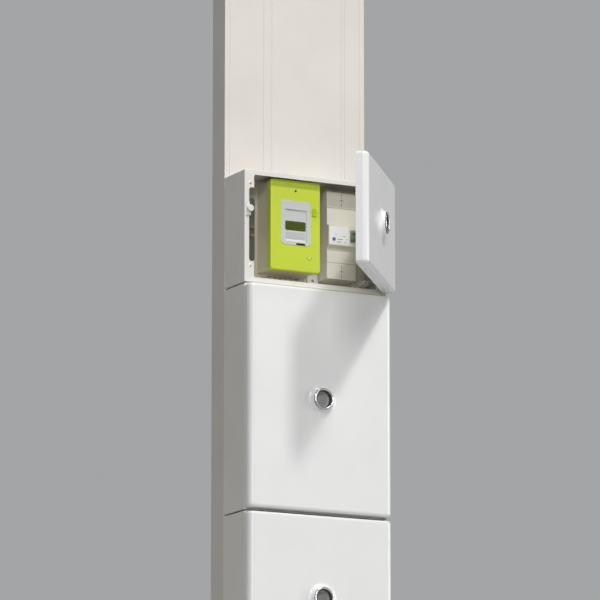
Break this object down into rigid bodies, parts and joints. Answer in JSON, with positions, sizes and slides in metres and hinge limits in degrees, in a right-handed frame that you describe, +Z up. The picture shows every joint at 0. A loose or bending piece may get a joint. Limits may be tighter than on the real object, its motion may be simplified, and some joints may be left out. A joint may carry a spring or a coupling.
{
  "type": "distribution board",
  "caption": "Wall column of stacked cabinets on a cable trunking, with a meter, a main breaker and rows of breakers behind hinged doors with ring handles.",
  "frame": {"origin": "centre of the four wall screws, on the trunking's back plane, at mid height", "axes": "+Z up along the column, -Y out of the wall towards the doors, +X to the right seen from the front"},
  "size_m": [0.3598, 0.4418, 1.676],
  "materials": {
    "trunking_white": "satin moulded plastic, warm white",
    "cabinet_white": "satin moulded plastic, warm white",
    "door_white": "glossy moulded plastic, cool white",
    "liner_grey": "satin moulded plastic, pale grey",
    "chrome_ring": "bright chrome",
    "meter_lime": "satin moulded plastic, lime green",
    "button_green": "satin moulded plastic, darker green",
    "meter_cream": "matt moulded plastic, cream",
    "bezel_grey": "matt moulded plastic, pale grey",
    "display_olive": "liquid crystal display, dark olive",
    "breaker_cream": "matt moulded plastic, pale cream",
    "lever_grey": "matt moulded plastic, grey green",
    "test_blue": "moulded plastic, blue",
    "board_cream": "matt moulded plastic, cream",
    "screw_steel": "zinc-plated steel",
    "rail_steel": "zinc-plated sheet steel",
    "bar_grey": "grey-green coated steel",
    "brass": "bright brass"
  },
  "bodies": {
    "root": {"trunking_base": "trunking_white", "partition_left": "trunking_white", "partition_right": "trunking_white", "upper_cover_left": "trunking_white", "upper_cover_centre": "trunking_white", "upper_cover_right": "trunking_white", "lower_covers": "trunking_white", "meter_surround": "cabinet_white", "surround_screws": "screw_steel", "meter_board": "board_cream", "breaker_board": "board_cream", "board_clip": "cabinet_white", "catch_peg": "cabinet_white", "earth_bar": "bar_grey", "earth_screws": "brass", "blank_plate": "board_cream", "meter_body": "meter_cream", "meter_cover": "meter_lime", "meter_bezel": "bezel_grey", "meter_display": "display_olive", "meter_cover_screw": "cabinet_white", "breaker_body": "breaker_cream", "breaker_upper_cover": "breaker_cream", "breaker_lower_cover": "breaker_cream", "breaker_seal_screws": "screw_steel", "board_housing": "cabinet_white", "board_front_plate": "cabinet_white", "board_blanks": "cabinet_white", "din_rails": "rail_steel", "lower_housing": "cabinet_white", "lower_front_plate": "cabinet_white", "lower_rail": "rail_steel", "lower_blank": "cabinet_white", "door_catches": "cabinet_white", "row_1_breakers": "breaker_cream", "row_1_switch": "breaker_cream", "row_2_breakers": "breaker_cream", "row_2_switch": "breaker_cream", "row_3_breakers": "breaker_cream", "row_3_switch": "breaker_cream"},
    "meter_door": {"meter_door": "door_white", "meter_door_liner": "liner_grey", "meter_door_handle": "chrome_ring"},
    "board_door": {"board_door": "door_white", "board_door_liner": "liner_grey", "board_door_handle": "chrome_ring"},
    "lower_door": {"lower_door": "door_white", "lower_door_liner": "liner_grey", "lower_door_handle": "chrome_ring"},
    "main_lever": {"breaker_lever": "lever_grey"},
    "main_test": {"breaker_test_button": "test_blue"},
    "meter_push": {"meter_button": "button_green"},
    "row_1_lever": {"row_1_switch_lever": "lever_grey"},
    "row_1_test": {"row_1_test_button": "test_blue"},
    "row_2_lever": {"row_2_switch_lever": "lever_grey"},
    "row_2_test": {"row_2_test_button": "test_blue"},
    "row_3_lever": {"row_3_switch_lever": "lever_grey"},
    "row_3_test": {"row_3_test_button": "test_blue"}
  },
  "joints": [
    {"name": "meter_door_hinge", "type": "hinge", "parent": "root", "child": "meter_door", "pos_m": [0.1705, -0.1625, 0.243], "axis": [0, 0, 1], "range_deg": [-51.6, 46]},
    {"name": "board_door_hinge", "type": "hinge", "parent": "root", "child": "board_door", "pos_m": [0.1705, -0.1625, -0.1325], "axis": [0, 0, 1], "range_deg": [0, 98]},
    {"name": "lower_door_hinge", "type": "hinge", "parent": "root", "child": "lower_door", "pos_m": [0.1705, -0.1625, -0.5655], "axis": [0, 0, 1], "range_deg": [0, 98]},
    {"name": "main_lever_pivot", "type": "hinge", "parent": "root", "child": "main_lever", "pos_m": [0.105, -0.128, 0.2485], "axis": [1, 0, 0], "range_deg": [0, 50]},
    {"name": "main_test_travel", "type": "slide", "parent": "root", "child": "main_test", "axis": [0, 1, 0], "range_m": [0, 0.0012], "stiffness_N_per_m": 150, "springref_m": -0.003},
    {"name": "meter_push_travel", "type": "slide", "parent": "root", "child": "meter_push", "axis": [0, 1, 0], "range_m": [0, 0.0012], "stiffness_N_per_m": 150, "springref_m": -0.003},
    {"name": "row_1_lever_pivot", "type": "hinge", "parent": "root", "child": "row_1_lever", "pos_m": [-0.133, -0.158, 0.0175], "axis": [1, 0, 0], "range_deg": [0, 60]},
    {"name": "row_1_test_travel", "type": "slide", "parent": "root", "child": "row_1_test", "axis": [0, 1, 0], "range_m": [0, 0.0012], "stiffness_N_per_m": 150, "springref_m": -0.003},
    {"name": "row_2_lever_pivot", "type": "hinge", "parent": "root", "child": "row_2_lever", "pos_m": [-0.133, -0.158, -0.1325], "axis": [1, 0, 0], "range_deg": [0, 60]},
    {"name": "row_2_test_travel", "type": "slide", "parent": "root", "child": "row_2_test", "axis": [0, 1, 0], "range_m": [0, 0.0012], "stiffness_N_per_m": 150, "springref_m": -0.003},
    {"name": "row_3_lever_pivot", "type": "hinge", "parent": "root", "child": "row_3_lever", "pos_m": [-0.133, -0.158, -0.2825], "axis": [1, 0, 0], "range_deg": [0, 60]},
    {"name": "row_3_test_travel", "type": "slide", "parent": "root", "child": "row_3_test", "axis": [0, 1, 0], "range_m": [0, 0.0012], "stiffness_N_per_m": 150, "springref_m": -0.003}
  ]
}
